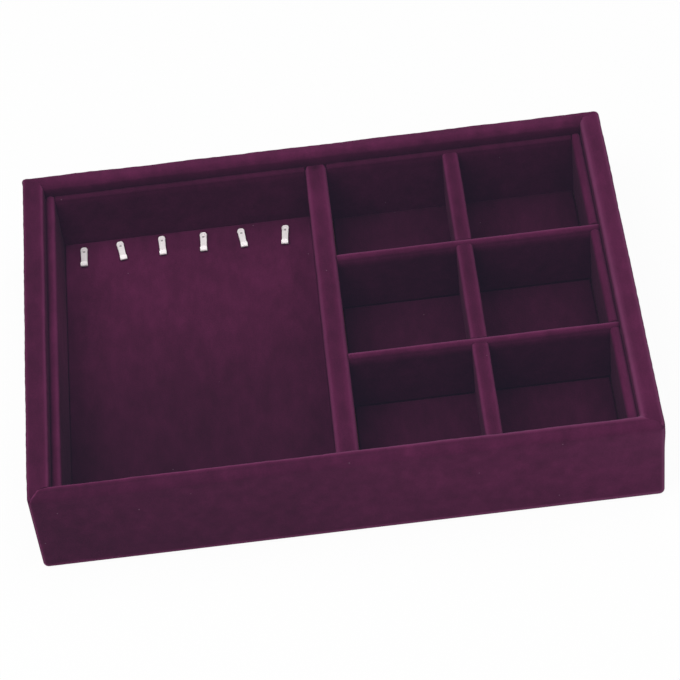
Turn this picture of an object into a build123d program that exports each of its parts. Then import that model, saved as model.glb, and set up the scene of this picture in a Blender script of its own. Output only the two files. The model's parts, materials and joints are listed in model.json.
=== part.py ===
from build123d import *
from math import cos, radians, sin
import os

# Velvet-covered tray: a padded necklace bay with hooks on the left, six small compartments on the right.
# Millimetres. X runs to the right, Y to the back and Z up, from the middle of the underside.

# The whole tray, measured over its velvet
tray_width = 280.0
tray_depth = 200.0
tray_height = 47.0
side_wall_thickness = 9.6
end_wall_thickness = 6.5
side_liner_thickness = 4.6
end_liner_thickness = 3.2
recess_depth = 6.5  # from the rim down to the liners and dividers

# Cloth and sheet goods
velvet_thickness = 0.8
underside_thickness = 0.5
underside_margin = 6.0  # velvet left showing round the underside sheet
turn_under = 12.0  # velvet glued under the walls
bottom_board_thickness = 2.6
floor_board_thickness = 1.8
pad_foam_thickness = 3.5
panel_gap = 0.2  # round the loose floor panels

# Edge roundings of the velvet; the boards beneath are chamfered to match
corner_rounding = 2.6
foot_rounding = 1.4
rim_rounding = 1.4
lip_rounding = 1.4  # inner edge of the rim
liner_rounding = 1.3
main_divider_rounding = 1.9
long_divider_rounding = 1.7
cross_divider_rounding = 1.4
floor_rounding = 1.2
foam_rounding = 1.8
underside_corner_rounding = 3.0
board_chamfer_share = 0.586  # of the rounding beyond the velvet, which keeps the velvet even

# Dividers, measured over their velvet
main_divider_thickness = 10.3
long_divider_thickness = 7.8
cross_divider_thickness = 3.6
lap_gap = 0.1  # each side of a half lap
lap_share = 0.5  # of the divider height, kept by the lower piece of a half lap
main_divider_share = 0.505  # of the room between the side liners, from the left
long_divider_share = 0.503  # of the room between main divider and right liner
front_cross_divider_share = 0.3217  # of the room between the end liners, from the front
back_cross_divider_share = 0.6678

# Hooks: a strip nailed near its round end, with a lip curled up at the front
hook_strip_width = 3.35
hook_strip_thickness = 0.6
hook_end_radius = 1.85
hook_end_length = 3.2  # from the nail to the round end
hook_reach = 8.9  # from the nail to the start of the curl
hook_curl_radius = 0.75
hook_curl_angle = 150.0
hook_lip_length = 1.7
hook_lift = 0.3  # hook above the pad
hook_row_setback = 7.7  # nails in front of the back liner
hook_row_left_margin = 9.7
hook_row_right_margin = 13.2
# Each hook's own place, as photographed: shares of the pitch to the right and to the back, and its swing
hook_side_drift_shares = [0.0, -0.09, -0.061, -0.03, -0.087, 0.0]
hook_back_drift_shares = [-0.02, 0.04, 0.055, 0.015, -0.01, -0.078]
hook_swings = [-0.4, 8.6, 2.0, -1.1, 6.4, -4.9]

# Nails that hold the hooks
nail_radius = 0.6
nail_length = 6.6
nail_head_radius = 0.85
nail_head_height = 0.4
nail_head_gap = 0.12  # between the hook and the head
eye_clearance = 0.05  # hook turns freely on its nail
nail_hole_gap = 0.04  # nail in the pad
nail_hole_sides = 8  # holes pierced with an awl

overrun = 2.0  # cuts pass through by this much

# Levels, from the underside up
case_base = underside_thickness
board_base = case_base + velvet_thickness
panel_base = board_base + bottom_board_thickness
pad_board_top = panel_base + floor_board_thickness
floor_top = pad_board_top + velvet_thickness
foam_top = pad_board_top + pad_foam_thickness
pad_top = foam_top + velvet_thickness
divider_top = tray_height - recess_depth
lap_level = floor_top + lap_share * (divider_top - floor_top)

# Room inside the walls, then inside the liners
wall_x = tray_width / 2 - side_wall_thickness
wall_y = tray_depth / 2 - end_wall_thickness
liner_x = wall_x - side_liner_thickness
liner_y = wall_y - end_liner_thickness

# Divider places
main_centre = -liner_x + main_divider_share * 2 * liner_x
main_span = (main_centre - main_divider_thickness / 2, main_centre + main_divider_thickness / 2)
long_centre = main_span[1] + long_divider_share * (liner_x - main_span[1])
long_span = (long_centre - long_divider_thickness / 2, long_centre + long_divider_thickness / 2)
cross_spans = {}
for row, share in {"front": front_cross_divider_share, "back": back_cross_divider_share}.items():
    cross_centre = -liner_y + share * 2 * liner_y
    cross_spans[row] = (cross_centre - cross_divider_thickness / 2, cross_centre + cross_divider_thickness / 2)

# Hook places
hook_count = len(hook_swings)
hook_row_start = -liner_x + hook_row_left_margin
hook_pitch = (main_span[0] - hook_row_right_margin - hook_row_start) / (hook_count - 1)
nail_places = []
for number, (side_share, back_share) in enumerate(zip(hook_side_drift_shares, hook_back_drift_shares)):
    nail_x = hook_row_start + (number + side_share) * hook_pitch
    nail_y = liner_y - hook_row_setback + back_share * hook_pitch
    nail_places.append((nail_x, nail_y))


def widened(span, gap):
    """The same span, longer by gap at both ends."""
    return (span[0] - gap, span[1] + gap)


def block(x_span, y_span, z_span, mode=Mode.ADD):
    """Rectangular block between two limits along each axis."""
    with BuildSketch(Plane.XY.offset(z_span[0])) as outline:
        with Locations(((x_span[0] + x_span[1]) / 2, (y_span[0] + y_span[1]) / 2)):
            Rectangle(x_span[1] - x_span[0], y_span[1] - y_span[0])
    extrude(outline.sketch, amount=z_span[1] - z_span[0], mode=mode)


def save(piece, name):
    """Label a finished piece and write it to its own file."""
    piece.part.label = name
    export_step(piece.part, f"parts/{name}.step")


def soften(edges, rounding, inset=0):
    """Round edges of the velvet, or chamfer those of a board that lies inset beneath it."""
    if inset:
        chamfer(edges, board_chamfer_share * (rounding - inset))
    else:
        fillet(edges, rounding)


def hollow_case(inset, pocket_floor):
    """The four walls in one ring with softened edges, drawn in by inset."""
    with BuildSketch(Plane.XY.offset(case_base + inset)) as outline:
        RectangleRounded(tray_width - 2 * inset, tray_depth - 2 * inset, corner_rounding - inset)
    extrude(outline.sketch, amount=tray_height - case_base - 2 * inset)
    soften(faces().sort_by(Axis.Z)[-1].edges(), rim_rounding, inset)
    soften(faces().sort_by(Axis.Z)[0].edges(), foot_rounding, inset)
    pocket_x = widened((-wall_x, wall_x), inset)
    pocket_y = widened((-wall_y, wall_y), inset)
    block(pocket_x, pocket_y, (pocket_floor, tray_height + overrun), Mode.SUBTRACT)
    soften(faces().sort_by(Axis.Z)[-1].inner_wires()[0].edges(), lip_rounding, inset)


def mitre_path(side, end):
    """Velvet seam at one corner: from outside the corner to the rounded lip, then square across it."""
    corner = Vector(tray_width / 2, tray_depth / 2)
    bend = Vector(wall_x + lip_rounding, wall_y + lip_rounding)
    outside = corner + (corner - bend).normalized() * overrun
    inside = bend - Vector(lip_rounding + turn_under, lip_rounding + turn_under)
    return [(side * point.X, end * point.Y) for point in (outside, bend, inside)]


def covered_upright(name, along, x_span, y_span, foot, rounding, cuts):
    """Upright board with velvet over both faces and its top edge, and the laps cut through both."""
    across = (0, velvet_thickness) if along == Axis.X else (velvet_thickness, 0)
    with BuildPart() as board:
        board_x = widened(x_span, -across[0])
        board_y = widened(y_span, -across[1])
        block(board_x, board_y, (foot, divider_top - velvet_thickness))
        soften(faces().sort_by(Axis.Z)[-1].edges().filter_by(along), rounding, velvet_thickness)
        for cut in cuts:
            block(*cut, mode=Mode.SUBTRACT)
    save(board, f"{name}_board")
    with BuildPart() as velvet:
        block(x_span, y_span, (foot, divider_top))
        soften(faces().sort_by(Axis.Z)[-1].edges().filter_by(along), rounding)
        for cut in cuts:
            block(*cut, mode=Mode.SUBTRACT)
        add(board.part, mode=Mode.SUBTRACT)
    save(velvet, f"{name}_velvet")


def panel(x_span, y_span, top, rounding, inset=0):
    """Flat panel on the bottom board, its upper edges softened."""
    block(widened(x_span, -inset), widened(y_span, -inset), (panel_base, top - inset))
    soften(faces().sort_by(Axis.Z)[-1].edges(), rounding, inset)


def nail_holes(base, top):
    """Pierced holes for the hooks' nails through a layer of the necklace pad."""
    with BuildSketch(Plane.XY.offset(base)) as holes:
        with Locations(*nail_places):
            RegularPolygon(nail_radius + nail_hole_gap, nail_hole_sides, major_radius=False)
    extrude(holes.sketch, amount=top - base, mode=Mode.SUBTRACT)


os.makedirs("parts", exist_ok=True)

# Outer case: four wall boards round the bottom board
with BuildPart() as case_boards:
    hollow_case(velvet_thickness, board_base - overrun)

board_x = wall_x + velvet_thickness
board_y = wall_y + velvet_thickness
outer_x = tray_width / 2 + overrun
outer_y = tray_depth / 2 + overrun
wall_cells = {
    "front": ((-outer_x, outer_x), (-outer_y, -board_y)),
    "back": ((-outer_x, outer_x), (board_y, outer_y)),
    "left": ((-outer_x, -board_x), (-board_y, board_y)),
    "right": ((board_x, outer_x), (-board_y, board_y)),
}
for wall, (cell_x, cell_y) in wall_cells.items():
    with BuildPart() as wall_board:
        add(case_boards.part)
        block(cell_x, cell_y, (0, tray_height), Mode.INTERSECT)
    save(wall_board, f"{wall}_wall_board")

with BuildPart() as bottom_board:
    block((-board_x, board_x), (-board_y, board_y), (board_base, panel_base))
save(bottom_board, "bottom_board")

# Velvet over the walls, down their inner faces and turned under, mitred at the corners
with BuildPart() as case_velvet:
    hollow_case(0, panel_base)
    block((-board_x, board_x), (-board_y, board_y), (board_base, panel_base), Mode.SUBTRACT)
    window_x = tray_width / 2 - turn_under
    window_y = tray_depth / 2 - turn_under
    block((-window_x, window_x), (-window_y, window_y), (0, board_base), Mode.SUBTRACT)
    add(case_boards.part, mode=Mode.SUBTRACT)

wall_corners = {
    "front": ((-1, -1), (1, -1)),
    "right": ((1, -1), (1, 1)),
    "back": ((1, 1), (-1, 1)),
    "left": ((-1, 1), (-1, -1)),
}
for wall, (first, last) in wall_corners.items():
    with BuildPart() as wall_velvet:
        add(case_velvet.part)
        with BuildSketch(Plane.XY) as sector:
            with BuildLine():
                Polyline(*mitre_path(*first), *reversed(mitre_path(*last)), close=True)
            make_face()
        extrude(amount=tray_height, mode=Mode.INTERSECT)
    save(wall_velvet, f"{wall}_wall_velvet")

with BuildPart() as underside_sheet:
    with BuildSketch():
        sheet_width = tray_width - 2 * underside_margin
        sheet_depth = tray_depth - 2 * underside_margin
        RectangleRounded(sheet_width, sheet_depth, underside_corner_rounding)
    extrude(amount=underside_thickness)
save(underside_sheet, "underside_sheet")

# Half laps: the dividers keep their upper half where they pass through a liner
above_lap = (lap_level, divider_top + overrun)
below_lap = (0, lap_level)
main_slot = widened(main_span, lap_gap)
long_slot = widened(long_span, lap_gap)
cross_slots = [widened(span, lap_gap) for span in cross_spans.values()]

# Liners: the side ones run from wall to wall, the end ones stand between them
for name, y_span in {"front": (-wall_y, -liner_y), "back": (liner_y, wall_y)}.items():
    through = widened(y_span, overrun)
    cuts = [(main_slot, through, above_lap)]
    covered_upright(f"{name}_liner", Axis.X, (-liner_x, liner_x), y_span, panel_base, liner_rounding, cuts)
covered_upright("left_liner", Axis.Y, (-wall_x, -liner_x), (-wall_y, wall_y), panel_base, liner_rounding, [])
right_span = (liner_x, wall_x)
right_cuts = [(widened(right_span, overrun), slot, above_lap) for slot in cross_slots]
covered_upright("right_liner", Axis.Y, right_span, (-wall_y, wall_y), panel_base, liner_rounding, right_cuts)

# Dividers: the main one laps both end liners, the cross ones lap the long one and the right liner
main_through = widened(main_span, overrun)
main_cuts = [
    (main_through, (-wall_y - overrun, -liner_y), below_lap),
    (main_through, (liner_y, wall_y + overrun), below_lap),
]
covered_upright("main_divider", Axis.Y, main_span, (-wall_y, wall_y), panel_base, main_divider_rounding, main_cuts)
long_cuts = [(widened(long_span, overrun), slot, above_lap) for slot in cross_slots]
covered_upright("long_divider", Axis.Y, long_span, (-liner_y, liner_y), floor_top, long_divider_rounding, long_cuts)
for row, y_span in cross_spans.items():
    through = widened(y_span, overrun)
    cuts = [(long_slot, through, below_lap), ((liner_x, wall_x + overrun), through, below_lap)]
    cross_x = (main_span[1], wall_x)
    covered_upright(f"{row}_cross_divider", Axis.X, cross_x, y_span, floor_top, cross_divider_rounding, cuts)

# Compartment floor: a velvet-wrapped board under the grid
grid_x = widened((main_span[1], liner_x), -panel_gap)
panel_y = widened((-liner_y, liner_y), -panel_gap)
with BuildPart() as compartment_floor_board:
    panel(grid_x, panel_y, floor_top, floor_rounding, velvet_thickness)
save(compartment_floor_board, "compartment_floor_board")
with BuildPart() as compartment_floor_velvet:
    panel(grid_x, panel_y, floor_top, floor_rounding)
    add(compartment_floor_board.part, mode=Mode.SUBTRACT)
save(compartment_floor_velvet, "compartment_floor_velvet")

# Necklace pad: board, foam and velvet, with the nails driven through
bay_x = widened((-liner_x, main_span[0]), -panel_gap)
pad_x = widened(bay_x, -velvet_thickness)
pad_y = widened(panel_y, -velvet_thickness)
with BuildPart() as necklace_pad_board:
    block(pad_x, pad_y, (panel_base, pad_board_top))
    nail_holes(panel_base, pad_board_top)
save(necklace_pad_board, "necklace_pad_board")
with BuildPart() as necklace_pad_foam:
    block(pad_x, pad_y, (pad_board_top, foam_top))
    fillet(faces().sort_by(Axis.Z)[-1].edges(), foam_rounding)
    nail_holes(pad_board_top, foam_top)
save(necklace_pad_foam, "necklace_pad_foam")
with BuildPart() as necklace_pad_velvet:
    panel(bay_x, panel_y, pad_top, foam_rounding + velvet_thickness)
    add(necklace_pad_board.part, mode=Mode.SUBTRACT)
    add(necklace_pad_foam.part, mode=Mode.SUBTRACT)
    nail_holes(panel_base, pad_top)
save(necklace_pad_velvet, "necklace_pad_velvet")

# Hooks, each turned about its nail
hook_base = pad_top + hook_lift
hook_top = hook_base + hook_strip_thickness
for number, ((nail_x, nail_y), swing) in enumerate(zip(nail_places, hook_swings), start=1):
    ahead = Vector(sin(radians(swing)), -cos(radians(swing)), 0)
    side_view = Plane(origin=(nail_x, nail_y, hook_base), x_dir=ahead, z_dir=ahead.cross(Vector(0, 0, 1)))
    plan_view = Plane(origin=(nail_x, nail_y, hook_base), x_dir=ahead, z_dir=(0, 0, 1))
    with BuildPart() as hook:
        with BuildSketch(side_view):
            with BuildLine():
                foot = Line((-hook_end_length, 0), (hook_reach, 0))
                outer_curl = JernArc(
                    foot @ 1, foot % 1, hook_curl_radius + hook_strip_thickness, hook_curl_angle
                )
                outer_lip = Line(outer_curl @ 1, outer_curl @ 1 + (outer_curl % 1) * hook_lip_length)
                top = Line((-hook_end_length, hook_strip_thickness), (hook_reach, hook_strip_thickness))
                inner_curl = JernArc(top @ 1, top % 1, hook_curl_radius, hook_curl_angle)
                inner_lip = Line(inner_curl @ 1, inner_curl @ 1 + (inner_curl % 1) * hook_lip_length)
                Line(outer_lip @ 1, inner_lip @ 1)
                Line(foot @ 0, top @ 0)
            make_face()
        extrude(amount=hook_end_radius, both=True)
        with BuildSketch(plan_view):
            round_centre = hook_end_radius - hook_end_length
            with Locations((round_centre, 0)):
                Circle(hook_end_radius)
            strip_end = hook_reach + hook_curl_radius + hook_strip_thickness
            with Locations(((round_centre + strip_end) / 2, 0)):
                Rectangle(strip_end - round_centre, hook_strip_width)
        extrude(amount=tray_height - hook_base, mode=Mode.INTERSECT)
        with BuildSketch(plan_view):
            Circle(nail_radius + eye_clearance)
        extrude(amount=hook_strip_thickness, mode=Mode.SUBTRACT)
    save(hook, f"hook_{number}")

    head_base = hook_top + nail_head_gap
    nail_tip = head_base - nail_length
    with BuildPart() as nail:
        with BuildSketch(Plane(origin=(nail_x, nail_y, 0), x_dir=(1, 0, 0), z_dir=(0, -1, 0))):
            with BuildLine():
                Polyline(
                    (0, head_base + nail_head_height),
                    (0, nail_tip),
                    (nail_radius, nail_tip),
                    (nail_radius, head_base),
                    (nail_head_radius, head_base),
                    (nail_head_radius, head_base + nail_head_height),
                    close=True,
                )
            make_face()
        revolve(axis=Axis((nail_x, nail_y, 0), (0, 0, 1)))
    save(nail, f"hook_nail_{number}")
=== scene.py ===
import json
from math import atan2, ceil, cos, pi, radians, sin, tan

import bpy
import numpy as np
from mathutils import Matrix, Vector
from numpy.linalg import norm


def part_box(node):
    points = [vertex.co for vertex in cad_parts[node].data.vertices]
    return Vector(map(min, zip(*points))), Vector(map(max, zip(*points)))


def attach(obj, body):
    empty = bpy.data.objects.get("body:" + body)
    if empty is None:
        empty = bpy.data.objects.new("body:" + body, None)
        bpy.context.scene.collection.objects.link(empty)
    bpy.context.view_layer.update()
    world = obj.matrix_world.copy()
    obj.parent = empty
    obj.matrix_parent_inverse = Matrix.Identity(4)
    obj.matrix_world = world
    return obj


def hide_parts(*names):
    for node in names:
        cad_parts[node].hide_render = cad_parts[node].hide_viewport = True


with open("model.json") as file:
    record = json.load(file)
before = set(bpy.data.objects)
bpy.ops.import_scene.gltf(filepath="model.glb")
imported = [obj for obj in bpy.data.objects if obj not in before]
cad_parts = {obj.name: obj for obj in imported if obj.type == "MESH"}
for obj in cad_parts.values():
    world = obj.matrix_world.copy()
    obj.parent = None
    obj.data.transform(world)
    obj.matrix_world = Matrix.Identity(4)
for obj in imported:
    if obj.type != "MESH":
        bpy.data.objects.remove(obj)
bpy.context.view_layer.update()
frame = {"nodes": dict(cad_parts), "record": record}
scene = bpy.context.scene
mm = 0.001


def spanOf(node):
    # Lowest and highest corner of a CAD node, as two arrays
    low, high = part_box(node)
    return np.array(low), np.array(high)


# Levels and faces that every cloth piece is fitted to
trayLow = np.minimum(spanOf("left_wall_velvet")[0], spanOf("front_wall_velvet")[0])
trayHigh = np.maximum(spanOf("right_wall_velvet")[1], spanOf("back_wall_velvet")[1])
linerLow, linerHigh = spanOf("left_liner_velvet")
linerTop = linerHigh[2]
linerFoot = linerLow[2]
wallFaceX = -linerLow[0]
wallFaceY = linerHigh[1]
floorTop = spanOf("compartment_floor_velvet")[1][2]
lapLevel = (floorTop + linerTop) / 2


# Shared surface maths

hair = 0.1 * mm  # tells two places apart
speck = 1e-9  # what rounding may add to a place, in metres
tiny = 1e-12  # keeps a division from zero
bendShare = 0.29  # of a rounding's radius: how far its middle lies from both faces
sharpAngle = radians(50)


def straightRun(start, end, step):
    # Evenly spaced points after start, up to and with end
    count = max(1, int(round(norm(end - start) / step)))
    return start + (end - start) * (np.arange(1, count + 1) / count)[:, None]


def softOutline(corners, radii, step, arcStep):
    # Straight runs joined by tangent arcs: each arc is its spoke, turned by as much as the path turns
    corners = np.array(corners, float)
    points = [corners[:1]]
    at = corners[0]
    for before, corner, after, radius in zip(corners[:-2], corners[1:-1], corners[2:], radii):
        into = (corner - before) / norm(corner - before)
        out = (after - corner) / norm(after - corner)
        turn = atan2(into[0] * out[1] - into[1] * out[0], into @ out)
        setback = radius * abs(tan(turn / 2))
        points.append(straightRun(at, corner - setback * into, step))
        if setback:
            spoke = radius * np.sign(turn) * np.array([into[1], -into[0]])
            angles = np.linspace(0, turn, int(ceil(abs(turn) * radius / arcStep)) + 1)[1:, None]
            arc = np.cos(angles) * spoke + np.sin(angles) * np.array([-spoke[1], spoke[0]])
            points.append(corner - setback * into - spoke + arc)
        at = corner + setback * out
    points.append(straightRun(at, corners[-1], step))
    return np.concatenate(points)


def stepLengths(section):
    # Distance from each point of a path to the next
    return norm(np.diff(section, axis=0), axis=1)


def stationsBetween(marks, fine, coarse, growth=1.2, mostSteps=60):
    # Stations along a run: fine steps beside every mark, each next one longer by growth, up to coarse
    parts = []
    for start, end in zip(marks[:-1], marks[1:]):
        reach = np.r_[0, np.cumsum(np.minimum(fine * growth ** np.arange(mostSteps), coarse))]
        near = reach[reach < max((end - start - coarse) / 2, fine / 2)]
        gap = end - start - 2 * near[-1]
        middle = np.linspace(near[-1], end - start - near[-1], max(1, int(round(gap / coarse))) + 1)
        parts.append(start + np.r_[near[:-1], middle, end - start - near[-2::-1]])
    return np.unique(np.concatenate(parts).round(9))


def waves(points, size, seed, count=9, spread=(0.7, 1.6), gain=1.6):
    # Unevenness of about -1 to 1: gain times the mean of cosine waves about size long, in random directions
    draw = np.random.default_rng(seed)
    directions = draw.normal(size=(count, 3))
    directions /= norm(directions, axis=1, keepdims=True)
    lengths = size * draw.uniform(*spread, count)
    phases = draw.uniform(0, 2 * pi, count)
    return np.cos(points @ (2 * pi * directions / lengths[:, None]).T + phases).mean(axis=-1) * gain


def ease(value, start, end):
    # Smooth step from 0 at start to 1 at end
    share = np.clip((value - start) / (end - start), 0, 1)
    return share * share * (3 - 2 * share)


def bell(distance, width):
    # From 1 at no distance, e to minus the square of distance over width
    return np.exp(-((distance / width) ** 2))


def bellAt(points, place, radius):
    # The same round a place in space
    return np.exp(-(((points - place) / radius) ** 2).sum(axis=-1))


def gridNormals(points):
    # Across times along, from the differences between neighbours
    normal = np.cross(np.gradient(points, axis=1), np.gradient(points, axis=0))
    return normal / np.maximum(norm(normal, axis=-1, keepdims=True), tiny)


def gridFaces(rows, columns, keep=None):
    # A quad between each two neighbouring rows and columns, where keep says so
    index = np.arange(rows * columns).reshape(rows, columns)
    quads = np.stack([index[:-1, :-1], index[:-1, 1:], index[1:, 1:], index[1:, :-1]], axis=-1)
    return (quads if keep is None else quads[keep]).reshape(-1, 4)


def loopFaces(loops):
    # A quad between each two neighbours of each two closed loops
    turned = np.roll(loops, -1, axis=1)
    return np.stack([loops[:-1], loops[1:], turned[1:], turned[:-1]], axis=-1).reshape(-1, 4)


def roundPlanCorners(points, halfX, halfY, radius):
    # Squares round each corner's centre become circles: a point keeps its larger offset as its distance
    centre = np.array([halfX - radius, halfY - radius])
    offset = np.abs(points[..., :2]) - centre
    inCorner = (offset > 0).all(axis=-1)
    distance = np.maximum(norm(offset, axis=-1), tiny)
    share = np.where(inCorner, offset.max(axis=-1) / distance, 1)[..., None]
    plan = np.sign(points[..., :2]) * (centre + offset * share)
    return np.concatenate([np.where(inCorner[..., None], plan, points[..., :2]), points[..., 2:]], axis=-1)


def pieceName(node):
    # The node's words joined in camel case
    first, *others = node.split("_")
    return first + "".join(word.title() for word in others)


def newObject(name, data):
    # An object in the scene for a mesh, a light or a camera
    thing = bpy.data.objects.new(name, data)
    scene.collection.objects.link(thing)
    return thing


def makeMesh(name, points, faces, nap=1.0, body="tray"):
    # Puts a surface into a mesh without its unused points, riding on its CAD body. The painted light is a
    # lightness painted into the velvet's colour: 1 is the plain colour, less is painted shade, more is a
    # painted highlight.
    used, faces = np.unique(faces, return_inverse=True)
    mesh = bpy.data.meshes.new(name)
    mesh.from_pydata(points.reshape(-1, 3)[used], [], faces.reshape(-1, 4))
    mesh.shade_smooth()
    light = np.broadcast_to(nap, points.shape[:-1]).reshape(-1)[used]
    mesh.attributes.new("nap", "FLOAT", "POINT").data.foreach_set("value", light.astype(np.float32))
    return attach(newObject(name, mesh), body)


def thicken(piece, thickness=0.6 * mm):
    # Gives a surface its thickness, the velvet's unless told, inwards from the side that shows
    solid = piece.modifiers.new("cloth thickness", "SOLIDIFY")
    solid.thickness = thickness
    solid.offset = -1
    solid.use_even_offset = True


# Materials

velvet = {
    # Base colours from deep to brushed pile, and the tones that they lie at
    "deep": (0.052, 0.0056, 0.0255),
    "plum": (0.072, 0.0080, 0.0360),
    "brushedAndPaintedLight": (0.096, 0.0112, 0.0485),
    "tones": {"deep": 0.35, "plum": 0.5, "brushedAndPaintedLight": 0.65},
    # Scale, detail, roughness and stretch of the patches, streaks and grain, and their shares of the tone
    "noises": [(22, 3.0, 0.55), (160, 2.0, 0.6, (1.0, 0.45, 1.0)), (1400, 2.0, 0.7)],
    "toneShares": (0.36, 0.38, 0.26),
    "pale": (0.165, 0.042, 0.103),  # painted sheen over the bends, where the painted light is high
    "paintedSheenShare": (0.8, -0.92),  # the painted sheen's share is the painted light times the first, plus the second
    "sockets": {
        "Roughness": 0.9,
        "Specular IOR Level": 0.06,
        "Sheen Weight": 0.05,
        "Sheen Roughness": 0.25,
        "Sheen Tint": (1.0, 0.30, 0.62, 1),
        "Emission Color": (0.0083, 0.0088, 0.0155, 1),  # painted glow that keeps the shaded cloth from going dark
        "Emission Strength": 1.0,
    },
    "bump": (0.35, 0.25 * mm),  # strength and height
    # Specks of lint, at most one in each cell
    "lint": (0.22, 0.12, 0.17),
    "lintRadius": 0.25 * mm,
    "lintScale": 95,
}
# Name, dark and light tone, scale of the grain, roughness, share of metal and height of the bump
stuffs = {
    "fibreboard": ("rawFibreboard", (0.22, 0.13, 0.07), (0.40, 0.27, 0.16), 500, 0.85, 0.0, 0.05 * mm),
    "foam": ("padFoam", (0.60, 0.57, 0.50), (0.78, 0.76, 0.70), 900, 0.95, 0.0, 0.05 * mm),
    "underside": ("flockedUnderside", (0.02, 0.017, 0.02), (0.05, 0.042, 0.048), 1500, 0.95, 0.0, 0.05 * mm),
    "hook_steel": ("platedStrip", (0.96, 0.90, 0.90), (1.0, 0.94, 0.95), 260, 0.45, 0.04, 0.01 * mm),
    "nail_steel": ("nailSteel", (0.42, 0.40, 0.40), (0.56, 0.54, 0.54), 600, 0.45, 0.6, 0.02 * mm),
}
stuffGrain = {"detail": 4.0, "roughness": 0.6, "dark": 0.3, "light": 0.7, "bump": 0.4}


def feed(tree, node, inputs):
    # Each input is a plain value or another node's output
    for socket, value in inputs.items():
        if isinstance(value, bpy.types.NodeSocket):
            tree.links.new(value, node.inputs[socket])
        else:
            node.inputs[socket].default_value = value


def addNode(tree, kind, inputs, output=0, **settings):
    # A new node, set and fed. Returns one of its outputs.
    node = tree.nodes.new(kind)
    for name, value in settings.items():
        setattr(node, name, value)
    feed(tree, node, inputs)
    return node.outputs[output]


def nodeMaterial(name):
    # A new material with its node tree and its shader
    material = bpy.data.materials.new(name)
    material.use_nodes = True
    return material, material.node_tree, material.node_tree.nodes["Principled BSDF"]


def noiseNode(tree, place, scale, detail, roughness, stretch=(1, 1, 1)):
    # Noise over places that are stretched first
    stretched = addNode(tree, "ShaderNodeMapping", {"Vector": place, "Scale": stretch})
    inputs = {"Vector": stretched, "Scale": scale, "Detail": detail, "Roughness": roughness}
    return addNode(tree, "ShaderNodeTexNoise", inputs, "Fac")


def mathNode(tree, operation, *values, clamp=False):
    # One step of arithmetic on its values
    return addNode(tree, "ShaderNodeMath", dict(enumerate(values)), operation=operation, use_clamp=clamp)


def rampNode(tree, factor, stops):
    # Colours between stops, each a place and a colour
    output = addNode(tree, "ShaderNodeValToRGB", {"Fac": factor})
    elements = output.node.color_ramp.elements
    for element, (place, colour) in zip(elements, (stops[0], stops[-1])):
        element.position, element.color = place, (*colour, 1)
    for place, colour in stops[1:-1]:
        elements.new(place).color = (*colour, 1)
    return output


def mixNode(tree, share, below, above):
    # The colour below, with a share of one plain colour above it
    return addNode(tree, "ShaderNodeMix", {0: share, 6: below, 7: (*above, 1)}, 2, data_type="RGBA")


def bumpNode(tree, height, strength, distance):
    # Normals that a height roughens
    return addNode(tree, "ShaderNodeBump", {"Height": height, "Strength": strength, "Distance": distance})


def velvetMaterial(look):
    # Broad brushed patches, streaks the length of a finger and a grain as fine as the pile make one tone.
    # Its colour and the lint are scaled by the painted light and shade, and turn pale, a painted sheen,
    # where the painted light is high. The emission paints a faint glow into all of it.
    material, tree, shader = nodeMaterial("plumVelvet")
    place = addNode(tree, "ShaderNodeTexCoord", {}, "Object")
    patches, streaks, grain = (noiseNode(tree, place, *noise) for noise in look["noises"])
    tone = 0.0
    for noise, share in zip((patches, streaks, grain), look["toneShares"]):
        tone = mathNode(tree, "MULTIPLY_ADD", noise, share, tone)
    colour = rampNode(tree, tone, [(at, look[name]) for name, at in look["tones"].items()])
    cells = addNode(tree, "ShaderNodeTexVoronoi", {"Vector": place, "Scale": look["lintScale"]}, "Distance")
    speckled = mathNode(tree, "LESS_THAN", cells, look["lintScale"] * look["lintRadius"])
    colour = mixNode(tree, speckled, colour, look["lint"])
    # Painted light and shade from the mesh scale the colour
    nap = addNode(tree, "ShaderNodeAttribute", {}, "Fac", attribute_name="nap")
    brushedAndPaintedLight = addNode(tree, "ShaderNodeVectorMath", {0: colour, "Scale": nap}, operation="SCALE")
    # A pale painted sheen is mixed in where the painted light is high
    paintedSheen = mathNode(tree, "MULTIPLY_ADD", nap, *look["paintedSheenShare"], clamp=True)
    colour = mixNode(tree, paintedSheen, brushedAndPaintedLight, look["pale"])
    normal = bumpNode(tree, mathNode(tree, "ADD", grain, streaks), *look["bump"])
    feed(tree, shader, {**look["sockets"], "Base Color": colour, "Normal": normal})
    return material


def plainMaterial(name, dark, light, scale, roughness, metallic, bumpHeight):
    # Two tones of one stuff by a noise of its own grain, which also roughens it
    material, tree, shader = nodeMaterial(name)
    place = addNode(tree, "ShaderNodeTexCoord", {}, "Object")
    grain = noiseNode(tree, place, scale, stuffGrain["detail"], stuffGrain["roughness"])
    colour = rampNode(tree, grain, [(stuffGrain["dark"], dark), (stuffGrain["light"], light)])
    normal = bumpNode(tree, grain, stuffGrain["bump"], bumpHeight)
    feed(tree, shader, {"Base Color": colour, "Metallic": metallic, "Roughness": roughness, "Normal": normal})
    return material


finishes = {"velvet": velvetMaterial(velvet), **{slot: plainMaterial(*look) for slot, look in stuffs.items()}}


def dress(piece, slot):
    # Finishes a piece as one of the record's material slots
    piece.data.materials.clear()
    piece.data.materials.append(finishes[slot])


for subpart in frame["record"]["subparts"]:
    carried = frame["nodes"][subpart["node"]]
    carried.data.materials.clear()
    carried.data.materials.append(finishes[subpart["material_slot"]])
print("materials made")


# Velvet over the four walls

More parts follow.
